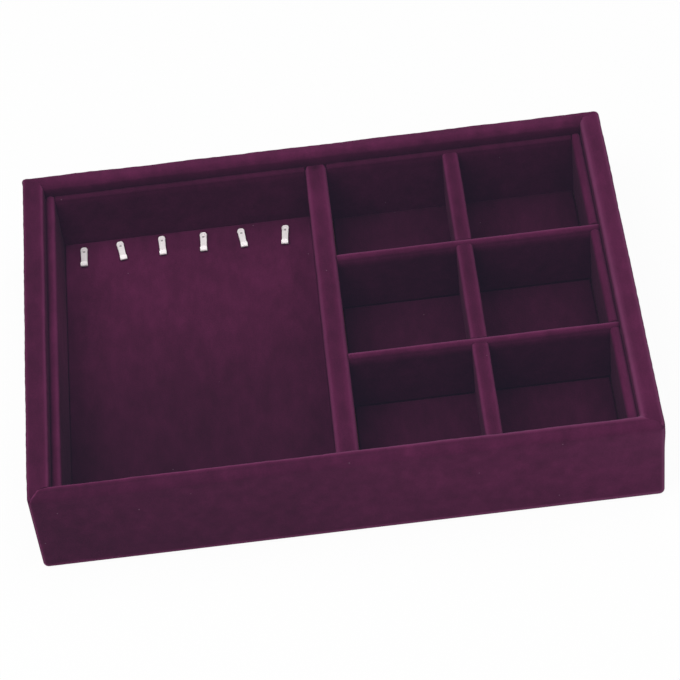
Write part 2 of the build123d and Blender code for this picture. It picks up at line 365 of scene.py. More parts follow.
caseCloth = {
    # Pile past the CAD skin at the sides, at the front and back, and on the rim
    "proud": (0.40 * mm, 1.30 * mm, 1.10 * mm),
    # Turned under the bottom: the width, the shares of it where the cloth starts to hang and hangs lowest,
    # how far it hangs, and its bends
    "turnUnder": 12.0 * mm,
    "hangShares": (0.55, 0.40),
    "footHang": 0.35 * mm,
    "turnRadius": 2.0 * mm,
    "footRadius": 1.6 * mm,
    "rimRadius": {"left": 2.2 * mm, "back": 2.4 * mm, "right": 2.2 * mm, "front": 3.3 * mm},
    "lipRadius": {"left": 2.1 * mm, "back": 3.3 * mm, "right": 2.1 * mm, "front": 2.1 * mm},
    "cornerRadius": 2.8 * mm,
    # Steps of the section (runs, arcs) and of the stations (near the ends, elsewhere)
    "sectionSteps": (1.5 * mm, 0.28 * mm),
    "stationSteps": (0.35 * mm, 1.1 * mm),
    "mitreStart": 2.6 * mm,  # depth of the outer edge's part of the mitre
    # How far the front cloth is folded past the inner corner before its seam runs out to the edge
    "foldOver": {"frontLeft": 3.4 * mm, "frontRight": 0.0, "backLeft": 0.0, "backRight": 0.0},
    "seamDepth": {"frontLeft": 0.28 * mm, "frontRight": 0.05 * mm, "backLeft": 0.05 * mm, "backRight": 0.0},
    "seamWidth": 0.9 * mm,
    "seamBelowRim": 0.25,  # share of its depth on the faces
    "rimZone": (3 * mm, 1 * mm),  # below the rim's top: its start, and where it is all rim
    # Where the cloth comes free: above the liners' top inside, and between two heights outside
    "freeInside": 4 * mm,
    "freeOutside": (1 * mm, 5 * mm),
    "bow": {"left": 0.15 * mm, "right": 0.1 * mm, "back": -0.2 * mm, "front": 0.1 * mm},
    # Size and seed of each unevenness, its height, and how far from a seam it calms down or puckers
    "swell": (46 * mm, 3),
    "ripple": (11 * mm, 5),
    "fuzz": (3.6 * mm, 17),
    "pucker": (5 * mm, 8),
    "swellHeight": 0.16 * mm,
    "rippleShare": 0.45,
    "fuzzHeight": 0.09 * mm,
    "puckerShare": 0.5,
    "calmReach": 9 * mm,
    "puckerReach": 7 * mm,
    # Small tucks and ears: place, radius and height in millimetres
    "tucks": [
        ((-139.6, 100.2, 46.2), 1.7, 0.75),
        ((131.2, -94.0, 47.2), 1.5, 0.55),
        ((139.9, -97.0, 40.0), 6.0, 0.35),
    ],
    # Painted light and shade on the rim's top, inside and outside (painted shade on both faces), and where it
    # passes from one to the other: in the lip's radii from its middle, and below the rim's top
    "napTop": {"left": 0.96, "back": 1.24, "right": 1.01, "front": 0.84},
    "napInside": 0.66,
    "napOutside": 0.93,
    "insideFade": (0.4, 2),
    "outsideFade": (1 * mm, 5 * mm),
    # Painted lightness of the rim's top where two walls meet, and how far from the seam
    "napMitre": {"frontLeft": None, "frontRight": 0.88, "backLeft": 1.02, "backRight": 1.02},
    "napMitreWidth": 6 * mm,
    # Painted highlights that the bends add, like a sheen (on the back lip a slight painted shade), how far
    # in,
    # up, deep or away that lies, and how wide: over the lip, along the outer edge, at the foot, down the
    # corners and along the fold
    "napLip": {"left": 0.90, "back": -0.1, "right": 0.68, "front": 1.7},
    "napLipWidth": {"left": 1.1 * mm, "back": 1.5 * mm, "right": 1.4 * mm, "front": 1.4 * mm},
    "napEdge": (0.7, 0.6 * mm, 0.9 * mm),
    "napFoot": (1.1, 1.0 * mm, 1.0 * mm),
    "napCorner": (1.1, 1.0 * mm, 1.2 * mm),
    "napFold": (1.2, 0.5 * mm, 0.6 * mm),
    "foldZone": (4 * mm, 2 * mm),  # below the rim's top, as the rim's zone
    "napTuck": (1.2, 0.8),  # painted highlight that a tuck adds, and its share of the tuck's radius
    # Painted light added from the tray's middle to its right (painted shade to its left), and up the outer
    # face between two heights
    "napAcross": {"left": 0.17, "back": 0.02, "right": 0.17, "front": 0.26},
    "napHigh": {"front": 0.10},
    "highZone": (8 * mm, 36 * mm),
}
outerX, outerY, rimTop = trayHigh + caseCloth["proud"]
sideDepth, endDepth = outerX - wallFaceX, outerY - wallFaceY
# For each wall: the way it runs with its outside on the left, the way inwards, its half sizes, its depth,
# and the corners where it starts and ends
wallRuns = {
    "left": ((0, 1), (1, 0), outerX, outerY, sideDepth, "frontLeft", "backLeft"),
    "back": ((1, 0), (0, -1), outerY, outerX, endDepth, "backLeft", "backRight"),
    "right": ((0, -1), (-1, 0), outerX, outerY, sideDepth, "backRight", "frontRight"),
    "front": ((-1, 0), (0, 1), outerY, outerX, endDepth, "frontRight", "frontLeft"),
}


def wallSection(side, own, look):
    # Depths from the outer face and heights: from the turned-under edge round the foot, up the outer face,
    # over the rim and the lip and down the inner face
    startShare, lowShare = look["hangShares"]
    lowest = trayLow[2] - look["footHang"]
    corners = [
        (look["turnUnder"], trayLow[2]),
        (startShare * look["turnUnder"], trayLow[2]),
        (lowShare * look["turnUnder"], lowest),
        (0, lowest),
        (0, rimTop),
        (own, rimTop),
        (own, linerFoot),
    ]
    turn = look["turnRadius"]
    radii = [turn, turn, look["footRadius"], look["rimRadius"][side], look["lipRadius"][side]]
    return softOutline(corners, radii, *look["sectionSteps"])


def mitreReach(end, isSide, endHalf, depth, height, look):
    # Half the wall's length less the neighbour's depth at the seam. The two depths go together from knot to
    # knot: outer edge, past its rounding, lip, inner face. Below the liners they are equal.
    lips = look["lipRadius"]
    sideLip = lips["left" if "Left" in end else "right"]
    endLip = lips["front" if "front" in end else "back"]
    sideKnots = [0, look["mitreStart"], sideDepth - sideLip - look["foldOver"][end], sideDepth]
    endKnots = [0, look["mitreStart"], endDepth - endLip, endDepth]
    mitre = np.interp(depth, sideKnots, endKnots) if isSide else np.interp(depth, endKnots, sideKnots)
    return endHalf - np.where(height < linerFoot - hair, depth, mitre)


def wallLift(side, ends, points, along, reach, outer, inside, onRim, look):
    # How far the cloth stands off: a bow that is highest halfway, swells, ripples and fuzz, all calm near a
    # seam, where puckers and the seam's groove take over, and the tucks
    fromSeam = reach - np.abs(along)
    lift = look["bow"][side] * (1 - (along / reach) ** 2) * outer
    uneven = waves(points, *look["swell"]) + look["rippleShare"] * waves(points, *look["ripple"])
    lift = lift + look["swellHeight"] * uneven
    lift = lift + look["fuzzHeight"] * waves(points, *look["fuzz"])
    pucker = look["puckerShare"] * waves(points, *look["pucker"])
    pucker = pucker * bell(fromSeam, look["puckerReach"]) * onRim
    groove = look["seamBelowRim"] + (1 - look["seamBelowRim"]) * onRim
    seam = bell(fromSeam, look["seamWidth"]) * groove * np.where(inside, onRim, 1)
    seamDepth = np.where(along < 0, *(look["seamDepth"][end] for end in ends))
    lift = lift * (1 - bell(fromSeam, look["calmReach"])) + look["swellHeight"] * pucker - seamDepth * seam
    for place, radius, rise in look["tucks"]:
        lift = lift + rise * mm * bellAt(points, np.array(place) * mm, radius * mm)
    return lift


def wallPaintedLight(side, ends, own, section, points, along, fromSeam, onRim, look):
    # Painted light and shade: the lightness of the rim's top eases into the painted shade of the inside and
    # the outside. Bends, seams and tucks add a bell of painted lightness each, and the whole grows up the
    # outer face and across the tray.
    depth, height = section.T
    outer = depth < own / 2
    lip, onTop = look["lipRadius"][side], look["napTop"][side]
    length = np.r_[0, stepLengths(section).cumsum()]
    lipMiddle = np.array([own - bendShare * lip, rimTop - bendShare * lip])
    onLip = length - length[np.argmin(norm(section - lipMiddle, axis=1))]
    fadeStart, fadeEnd = look["insideFade"]
    light = onTop + (look["napInside"] - onTop) * ease(onLip, fadeStart * lip, fadeEnd * lip)
    for end, toward in zip(ends, (along < 0, along >= 0)):
        if look["napMitre"][end]:
            added = look["napMitre"][end] - onTop
            light = light + added * bell(fromSeam, look["napMitreWidth"]) * onRim * toward
    light = light + look["napLip"][side] * bell(onLip, look["napLipWidth"][side])
    light = light + (look["napOutside"] - onTop) * ease(rimTop - height, *look["outsideFade"]) * outer
    if side != "front":
        added, inset, width = look["napEdge"]
        light = light + added * bell(np.hypot(depth - inset, height - rimTop + inset), width)
    added, rise, width = look["napFoot"]
    light = light + added * bell(height - trayLow[2] - rise, width)
    added, deep, width = look["napCorner"]
    light = light + added * bell(fromSeam, width) * (height < rimTop - look["rimZone"][0]) * (depth < deep)
    if side == "front":
        added, away, width = look["napFold"]
        foldStart, foldEnd = look["foldZone"]
        fold = bell(fromSeam - away, width) * ease(height, rimTop - foldStart, rimTop - foldEnd)
        light = light + added * fold * (points[..., 0] < 0)
    up = look["napHigh"].get(side, 0) * ease(height, *look["highZone"]) * outer
    light = light * (1 + up + look["napAcross"][side] * points[..., 0] / outerX)
    added, radiusShare = look["napTuck"]
    for place, radius, rise in look["tucks"]:
        light = light + added * rise * bellAt(points, np.array(place) * mm, radiusShare * radius * mm)
    return light


def wallCloth(side, look):
    # The section is carried along the wall as far as both mitres, rounded at the tray's corners, lifted along
    # its normals where it is free, and given its painted light and shade
    ahead, inwards, half, endHalf, own, *ends = wallRuns[side]
    isSide = side in ("left", "right")
    section = wallSection(side, own, look)
    depth, height = section.T
    along = stationsBetween([-endHalf, endHalf], *look["stationSteps"])[:, None] / endHalf
    reach = np.where(along < 0, *(mitreReach(end, isSide, endHalf, depth, height, look) for end in ends))
    along = along * reach
    plan = along[..., None] * np.array(ahead) + (depth - half)[..., None] * np.array(inwards)
    upright = np.broadcast_to(height[:, None], (*along.shape, 1))
    points = roundPlanCorners(np.concatenate([plan, upright], axis=-1), outerX, outerY, look["cornerRadius"])
    inside = (depth > own - 2 * hair) & (height > linerFoot)
    zoneStart, zoneEnd = look["rimZone"]
    onRim = ease(height, rimTop - zoneStart, rimTop - zoneEnd)
    freeInside = ease(height, linerTop, linerTop + look["freeInside"])
    free = np.where(inside, freeInside, ease(height, *look["freeOutside"]))
    lift = wallLift(side, ends, points, along, reach, depth < own / 2, inside, onRim, look)
    points = points + gridNormals(points) * (lift * free)[..., None]
    # Painted light and shade for the velvet's colour
    light = wallPaintedLight(side, ends, own, section, points, along, reach - np.abs(along), onRim, look)
    piece = makeMesh(f"{side}WallVelvet", points, gridFaces(*points.shape[:2]), light)
    thicken(piece)
    dress(piece, "velvet")
    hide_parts(f"{side}_wall_velvet")
    cut = float(stepLengths(section).sum())


for side in wallRuns:
    wallCloth(side, caseCloth)
print("walls covered")


# Velvet over liners and dividers

uprightCloth = {
    "proudTop": 0.75 * mm,  # pile above the CAD skin
    "lapGap": 0.1 * mm,
    # Steps of the section (runs, arcs) and of the stations (near ends and cuts, elsewhere)
    "sectionSteps": (1.5 * mm, 0.3 * mm),
    "stationSteps": (0.3 * mm, 1.6 * mm),
    # Radius of the top's edges, and over which length and how far, at the sides and at the top, the cloth
    # draws in at ends and cuts
    "kinds": {
        "sideLiner": (2.1 * mm, 1.2 * mm, 0.5 * mm, 0.45 * mm),
        "endLiner": (1.5 * mm, 1.2 * mm, 0.3 * mm, 0.3 * mm),
        "main": (2.3 * mm, 2.5 * mm, 0.70 * mm, 0.70 * mm),
        "long": (2.0 * mm, 1.2 * mm, 0.15 * mm, 0.15 * mm),
        "cross": (1.7 * mm, 1.2 * mm, 0.4 * mm, 0.4 * mm),
    },
    "nipDepth": 8 * mm,  # how far down from the top the sides draw in
    # Size and seed of each unevenness, their height, and the most that the cloth may stand off
    "swell": (38 * mm, 11),
    "ripple": (9 * mm, 13),
    "rippleShare": 0.4,
    "swellHeight": 0.13 * mm,
    "mostLift": 0.25 * mm,
    "freeAbove": (1 * mm, 6 * mm),  # it comes free between these heights above its foot
    "freeAlong": 4 * mm,  # and over this length from its ends
    # Dimple in the main divider's top: depth, distance from its back end, and radius
    "dimple": (0.35 * mm, 1.6 * mm, 2.0 * mm),
    # Painted light and shade on the top and on the faces (painted shade) at the front or left end and at the
    # other, the painted highlights that the top's rounded edges add on the left or back and on the right or
    # front, and how many radii below the top the lightness is that of the faces
    "nap": {
        "left_liner": (0.96, 0.30, 0.22, 0.05, 0.45, 1.3),
        "right_liner": (1.10, 0.40, 0.40, 0.05, 0.35, 2.2),
        "front_liner": (0.90, 0.50, 0.50, 0.0, 0.0, 2.2),
        "back_liner": (0.57, 0.80, 0.80, -0.05, 0.0, 4.0),
        "main_divider": (0.86, 0.55, 0.55, 0.70, 0.70, 2.2),
        "long_divider": (0.84, 0.55, 0.55, 0.65, 0.65, 2.2),
        "front_cross_divider": (0.95, 0.62, 0.62, 1.35, -0.15, 4.2),
        "back_cross_divider": (0.95, 0.62, 0.62, 1.35, -0.15, 4.2),
    },
    "bendWidth": 0.95,  # how wide the rounded edges' painted highlight is, in radii
    "fadeStart": 0.5,  # radii below the top, where the lightness starts to change
    # Painted light that the faces gain on one stretch, and its middle and width as shares of the length
    "napStretch": {"left_liner": (0.8, 0.64, 0.22)},
    # Painted light that some faces gain in a band below the top, how far down it lies and how wide it is
    "napBelow": {
        "back_liner": (0.40, 2.4 * mm, 1.9 * mm),
        "front_cross_divider": (0.45, 2.8 * mm, 2.2 * mm),
        "back_cross_divider": (0.45, 2.8 * mm, 2.2 * mm),
    },
    "napNip": 0.55,  # painted shade that a dimple gets, or an end for each millimetre that its top draws in
}


def uprightPaintedLight(node, section, share, top, radius, sides, look):
    # Painted light and shade: the top's lightness eases into the painted shade of the faces, which runs from
    # end to end and is lighter on one stretch. A band below the top and the top's two rounded edges add a
    # painted highlight each.
    onTop, facesStart, facesEnd, *onEdges, fadeEnd = look["nap"][node]
    down = top - section[:, 1]
    onFaces = facesStart + (facesEnd - facesStart) * share
    if node in look["napStretch"]:
        added, middle, width = look["napStretch"][node]
        onFaces = onFaces + added * bell(share - middle, width)
    light = onTop + (onFaces - onTop) * ease(down, look["fadeStart"] * radius, fadeEnd * radius)
    if node in look["napBelow"]:
        added, drop, width = look["napBelow"][node]
        light = light + added * bell(down - drop, width)
    bend = bendShare * radius
    for side, added in zip(sides, onEdges):
        fromEdge = np.abs(np.abs(section[:, 0] - side) - bend) + np.abs(top - bend - section[:, 1])
        light = light + added * bell(fromEdge, look["bendWidth"] * radius)
    return light


def capFaces(along, keep, cuts, columnMiddle):
    # Quads across the section, at both ends and at both sides of a lap that is cut from above
    columns = len(columnMiddle) + 1
    pair = np.arange(columns // 2 - 1 + columns % 2)
    ends = [(0, 0, False), (len(along) - 1, len(along) - 2, True)]
    for cutStart, cutEnd, isAbove in cuts:
        if isAbove and along[0] < cutStart:
            first, last = np.searchsorted(along, (cutStart - hair / 1000, cutEnd - hair / 1000))
            ends += [(first, first - 1, True), (last, last, False)]
    caps = []
    for row, beside, flip in ends:
        kept = keep[beside][pair] & ((beside in (0, len(along) - 2)) | (columnMiddle[pair] > lapLevel))
        near = row * columns + pair[kept]
        far = row * columns + columns - 1 - pair[kept]
        cap = np.stack([near, far, far - 1, near + 1], axis=-1)
        caps.append(cap[:, ::-1] if flip else cap)
    return caps


def coverUpright(node, kind, alongY, cuts, look=uprightCloth):
    # The section, up one face, over the top and down the other, is carried along the board. Towards an end
    # it shrinks along a quarter circle and closes. Where a lap is cut the cloth is left out.
    low, high = spanOf(f"{node}_velvet")
    if alongY:
        start, end, left, right = low[1], high[1], low[0], high[0]
    else:
        start, end, left, right = low[0], high[0], -high[1], -low[1]
    start, end = start - look["lapGap"] / 2, end + look["lapGap"] / 2
    foot, top = low[2], high[2] + look["proudTop"]
    radius, nipLength, nipSides, nipTop = look["kinds"][kind]
    corners = [(left, foot), (left, lapLevel), (left, top), (right, top), (right, lapLevel), (right, foot)]
    section = softOutline(corners, [0, radius, radius, 0], *look["sectionSteps"])
    marks = sorted({start, end} | {edge for cut in cuts for edge in cut[:2] if start < edge < end})
    along = stationsBetween(marks, *look["stationSteps"])
    side, height = np.broadcast_arrays(section[:, 0], section[:, 1], along[:, None])[:2]
    middle, halfWidth = (left + right) / 2, (right - left) / 2
    toEnd = np.minimum(along - start, end - along)

    def nipped(distance):
        # Share of the nip: a quarter circle that starts nipLength before the edge
        share = np.clip(1 - distance / nipLength, 0, 1)
        return 1 - np.sqrt(1 - share**2)

    inset = nipped(toEnd)
    keep = np.ones((len(along) - 1, len(section) - 1), bool)
    rowMiddle, columnMiddle = (along[1:] + along[:-1]) / 2, (section[1:, 1] + section[:-1, 1]) / 2
    for cutStart, cutEnd, isAbove in cuts:
        inCut = (rowMiddle > cutStart) & (rowMiddle < cutEnd)
        keep &= ~(inCut[:, None] & ((columnMiddle > lapLevel) == isAbove)[None, :])
        if isAbove:
            inset = np.maximum(inset, nipped(np.maximum(cutStart - along, along - cutEnd)))
    rise = (height - foot) / (top - foot)
    nearTop = ease(height, top - look["nipDepth"], top)
    side = middle + (side - middle) * (1 - nipSides * inset[:, None] / halfWidth * nearTop)
    height = height - nipTop * inset[:, None] * rise
    run = np.broadcast_to(along[:, None], side.shape)
    points = np.stack([side, run, height] if alongY else [run, -side, height], axis=-1)
    uneven = waves(points, *look["swell"]) + look["rippleShare"] * waves(points, *look["ripple"])
    freeStart, freeEnd = look["freeAbove"]
    lift = look["swellHeight"] * uneven * ease(height, foot + freeStart, foot + freeEnd)
    lift = np.minimum(lift * ease(toEnd, 0, look["freeAlong"])[:, None], look["mostLift"])
    dimple = np.zeros_like(lift)
    if kind == "main":
        dimpleDepth, fromEnd, dimpleRadius = look["dimple"]
        dimple = bellAt(points, np.array([middle, end - fromEnd, top]), dimpleRadius)
        lift = lift - dimpleDepth * dimple
    points = points + gridNormals(points) * lift[..., None]
    share = ((along - start) / (end - start))[:, None]
    # Painted light and shade, with painted shade at the dimple and where an end draws in
    light = uprightPaintedLight(node, section, share, top, radius, (left, right), look)
    light = light * (1 - look["napNip"] * np.maximum(inset[:, None] * nipTop / mm, dimple))
    faces = np.concatenate([gridFaces(*points.shape[:2], keep), *capFaces(along, keep, cuts, columnMiddle)])
    piece = makeMesh(pieceName(f"{node}_velvet"), points, faces, light)
    thicken(piece)
    dress(piece, "velvet")
    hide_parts(f"{node}_velvet")
    cut = float(stepLengths(section).sum())


def slotOf(node, axis):
    # Where the lap for an upright starts and ends in the boards that it crosses
    low, high = spanOf(f"{node}_velvet")
    gap = uprightCloth["lapGap"] / 2
    return float(low[axis] - gap), float(high[axis] + gap)


beyond = 1.0  # where a cut ends that runs out of the board
mainSlot = slotOf("main_divider", 0)
longSlot = slotOf("long_divider", 0)
rightLinerSlot = (slotOf("right_liner", 0)[0], beyond)
crossSlots = [slotOf("front_cross_divider", 1), slotOf("back_cross_divider", 1)]
backSlot = (float(spanOf("back_liner_velvet")[0][1]), beyond)
frontSlot = (-beyond, float(spanOf("front_liner_velvet")[1][1]))
coverUpright("left_liner", "sideLiner", True, [])
coverUpright("right_liner", "sideLiner", True, [(*slot, True) for slot in crossSlots])
for node in ("front_liner", "back_liner"):
    coverUpright(node, "endLiner", False, [(*mainSlot, True)])
coverUpright("main_divider", "main", True, [(*frontSlot, False), (*backSlot, False)])
coverUpright("long_divider", "long", True, [(*slot, True) for slot in crossSlots])
for node in ("front_cross_divider", "back_cross_divider"):
    coverUpright(node, "cross", False, [(*longSlot, False), (*rightLinerSlot, False)])
print("liners and dividers covered")


# Floor panels

panelForm = {
    "stationSteps": (0.3 * mm, 1.7 * mm),  # near the edge and elsewhere
    "crownStart": 4 * mm,  # from the edge to where the crown has its full height
    "skirtRows": 3,
    "napChange": (0.2, 0.95),  # shares of the depth between which the front's painted lightness becomes the back's
    "nearEdgeWidth": 5 * mm,
    "shadedWidth": 10 * mm,
}
floorCloth = {
    "edgeRadius": 1.2 * mm,
    "cornerRadius": 1.5 * mm,
    "crown": 0.25 * mm,
    # Painted light and shade at the front and the back, and how much painted shade it gets towards the front
    # left corner, near its edges and beside the back wall; a negative amount paints light instead
    "nap": {"front": 0.52, "back": 0.52, "corner": 0.0, "tucked": 0.2, "shaded": 0.0},
}
padFoam = {
    "edgeRadius": 2.0 * mm,
    "cornerRadius": 2.4 * mm,
    "settled": 0.1 * mm,  # below its velvet
    "fill": 0.9,
}
padCloth = {
    "edgeRadius": 0.8 * mm,
    "cornerRadius": 1.2 * mm,
    "crown": 1.0 * mm,
    "lowEdge": 0.05 * mm,  # how far its edge is pulled down
    # Painted light and shade, as on the floor
    "nap": {"front": 0.58, "back": 1.12, "corner": 0.50, "tucked": -0.20, "shaded": 0.26},
    "meshStep": 1.5 * mm,
    "relaxations": 2600,
}


def panelPaintedLight(points, low, high, nap, form):
    # Painted light and shade: the front's lightness eases into the back's, less a painted shade by the square
    # of the share to the left times the share to the front, and by painted shade that dies away from the
    # edges and from the back wall
    across, share = ((points[:, :2] - low[:2]) / (high[:2] - low[:2])).clip(0, 1).T
    light = nap["front"] + (nap["back"] - nap["front"]) * ease(share, *form["napChange"])
    light = light * (1 - nap["corner"] * (1 - across) ** 2 * (1 - share))
    tucked = np.minimum(points[:, :2] - low[:2], high[:2] - points[:, :2]).min(axis=1)
    light = light * (1 - nap["tucked"] * np.exp(-tucked / form["nearEdgeWidth"]))
    return light * (1 - nap["shaded"] * np.exp(-(high[1] - points[:, 1]) / form["shadedWidth"]))


def coverPanel(node, look, crownAt, drop=0.0, closed=False, form=panelForm):
    # A grid over the panel's top, raised by its crown, whose edge falls along a quarter circle, with a skirt
    # down its four sides, and for a solid pad a flat grid below. Returns the piece and its flat size.
    low, high = spanOf(node)
    centre, half = (low + high) / 2, (high - low) / 2
    x, y = (stationsBetween([-half[axis], half[axis]], *form["stationSteps"]) for axis in (0, 1))
    x, y = np.meshgrid(x, y, indexing="ij")
    toEdge = np.minimum(half[0] - np.abs(x), half[1] - np.abs(y))
    radius = look["edgeRadius"]
    fall = radius - np.sqrt(np.maximum(radius**2 - np.maximum(radius - toEdge, 0) ** 2, 0))
    z = high[2] - drop - fall + crownAt(x + centre[0], y + centre[1]) * ease(toEdge, 0, form["crownStart"])
    top = roundPlanCorners(np.stack([x, y, z], axis=-1), half[0], half[1], look["cornerRadius"])
    top = top + np.array([centre[0], centre[1], 0])
    rows, columns = x.shape
    index = np.arange(rows * columns).reshape(rows, columns)
    ring = np.r_[index[:-1, 0], index[-1, :-1], index[:0:-1, -1], index[0, :0:-1]]
    drops = np.linspace(0, 1, form["skirtRows"] + 1)[1:, None, None]
    edge = top.reshape(-1, 3)[ring]
    skirt = edge + drops * (np.array([0, 0, 1]) * (low[2] - edge[:, 2:]))
    points = np.r_[top.reshape(-1, 3), skirt.reshape(-1, 3)]
    below = rows * columns + np.arange(form["skirtRows"] * len(ring)).reshape(form["skirtRows"], len(ring))
    loops = np.r_[ring[None], below]
    faces = [gridFaces(rows, columns)[:, ::-1], loopFaces(loops)]
    if closed:
        under = top * np.array([1, 1, 0]) + np.array([0, 0, low[2]])
        underIndex = len(points) + np.arange(rows * columns)
        underIndex[ring] = loops[-1]
        points = np.r_[points, under.reshape(-1, 3)]
        faces.append(underIndex[gridFaces(rows, columns)])
    light = panelPaintedLight(points, low, high, look["nap"], form) if "nap" in look else 1.0
    piece = makeMesh(pieceName(node), points, np.concatenate(faces), light)
    if not closed:
        thicken(piece)
    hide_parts(node)
    hang = 2 * (high[2] - low[2])
    return piece, (float(2 * half[0] + hang), float(2 * half[1] + hang))


def cellCrown(x, y):
    # In each compartment a low mound: one minus the square of the share from middle to side, both ways
    crown = np.zeros_like(x)
    columns = [mainSlot[1], *longSlot, rightLinerSlot[0]]
    rows = [frontSlot[1], *crossSlots[0], *crossSlots[1], backSlot[0]]
    for left, right in zip(columns[::2], columns[1::2]):
        for front, back in zip(rows[::2], rows[1::2]):
            u = np.clip((2 * x - left - right) / (right - left), -1, 1)
            v = np.clip((2 * y - front - back) / (back - front), -1, 1)
            crown += floorCloth["crown"] * (1 - u**2) * (1 - v**2)
    return crown


floorPiece, floorFlat = coverPanel("compartment_floor_velvet", floorCloth, cellCrown)
dress(floorPiece, "velvet")

hookNumbers = range(1, 7)
nailSpots = np.array([np.mean(spanOf(f"hook_nail_{number}"), axis=0) for number in hookNumbers])


def relaxedCover(look):
    # A membrane over soft foam: each point is relaxed to its neighbours' mean plus the foam's push, while
    # the edge and the points under the nails are held down. The highest point is then the crown.
    low, high = spanOf("necklace_pad_velvet")
    step = look["meshStep"]
    x, y = (np.arange(low[axis], high[axis] + step, step) for axis in (0, 1))
    rise = np.zeros((len(x), len(y)))
    rows = np.rint((nailSpots[:, 0] - x[0]) / step).astype(int)
    columns = np.rint((nailSpots[:, 1] - y[0]) / step).astype(int)
    for turn in range(look["relaxations"]):
        around = rise[:-2, 1:-1] + rise[2:, 1:-1] + rise[1:-1, :-2] + rise[1:-1, 2:]
        rise[1:-1, 1:-1] = around / 4 + 1
        rise[rows, columns] = 0
    return x, y, rise * (look["crown"] / rise.max())


padX, padY, membrane = relaxedCover(padCloth)


def padCrown(x, y):
    # The membrane's height between its four nearest points, less the low edge
    lastShare = 0.999  # of a step: how far the last cell is used, so that it has a next point
    u = np.clip((x - padX[0]) / padCloth["meshStep"], 0, len(padX) - 2 + lastShare)
    v = np.clip((y - padY[0]) / padCloth["meshStep"], 0, len(padY) - 2 + lastShare)
    i, j = u.astype(int), v.astype(int)
    s, t = u - i, v - j
    near = membrane[i, j] * (1 - t) + membrane[i, j + 1] * t
    far = membrane[i + 1, j] * (1 - t) + membrane[i + 1, j + 1] * t
    return near * (1 - s) + far * s - padCloth["lowEdge"]


padPiece, padFlat = coverPanel("necklace_pad_velvet", padCloth, padCrown)
dress(padPiece, "velvet")
foamPiece = coverPanel("necklace_pad_foam", padFoam, padCrown, padFoam["settled"], closed=True)[0]
dress(foamPiece, "foam")
print("floors covered")


# Hooks and nails

hookLook = {
    "stripWidth": 3.35 * mm,
    "endRadius": 1.85 * mm,
    "endLength": 3.2 * mm,  # from the nail to the round end
    "curlRadius": 0.75 * mm,
    "curlAngle": 150,
    "lipLength": 1.7 * mm,
    "thickness": 0.6 * mm,
    "holeRadius": 0.65 * mm,
    # Half the square round the nail where squares become circles, and rows in it
    "holeZone": 1.3 * mm,
    "rowInHole": 0.33 * mm,
    "rowByHole": 0.98 * mm,
    "endRows": (0.12, 0.5, 8),  # first and last, in half turns from the round tip, and how many
    "rows": {"run": 12, "curl": 12, "lip": 4},
    "columnShare": 0.9,  # of the half width: the column beside the edge
    "waist": 0.05,  # share drawn in between nail and lip
    "waistZone": (4 * mm, 5 * mm),  # from the nail: fully drawn in, and widening again
    "lipCorner": (0.5 * mm, 0.3),  # its last stretch, and by which share that narrows
    "raisedEdge": 0.16 * mm,
    "raisedFade": 2 * mm,  # before the curl
    "softEdge": 0.14 * mm,
    "tipZone": 0.5 * mm,  # below the lip's top: the part that shows the hook's direction
}
nailLook = {
    "headHeight": 0.4 * mm,
    "headRim": 0.1 * mm,  # the head's straight part below its dome
    "shankShare": 0.6 / 0.85,  # of the head's radius
    "shankLength": 2.0 * mm,
    "pointLength": 1.6 * mm,
    "pointRadius": 0.02 * mm,
    "domeRows": 6,
    "sides": 32,
}


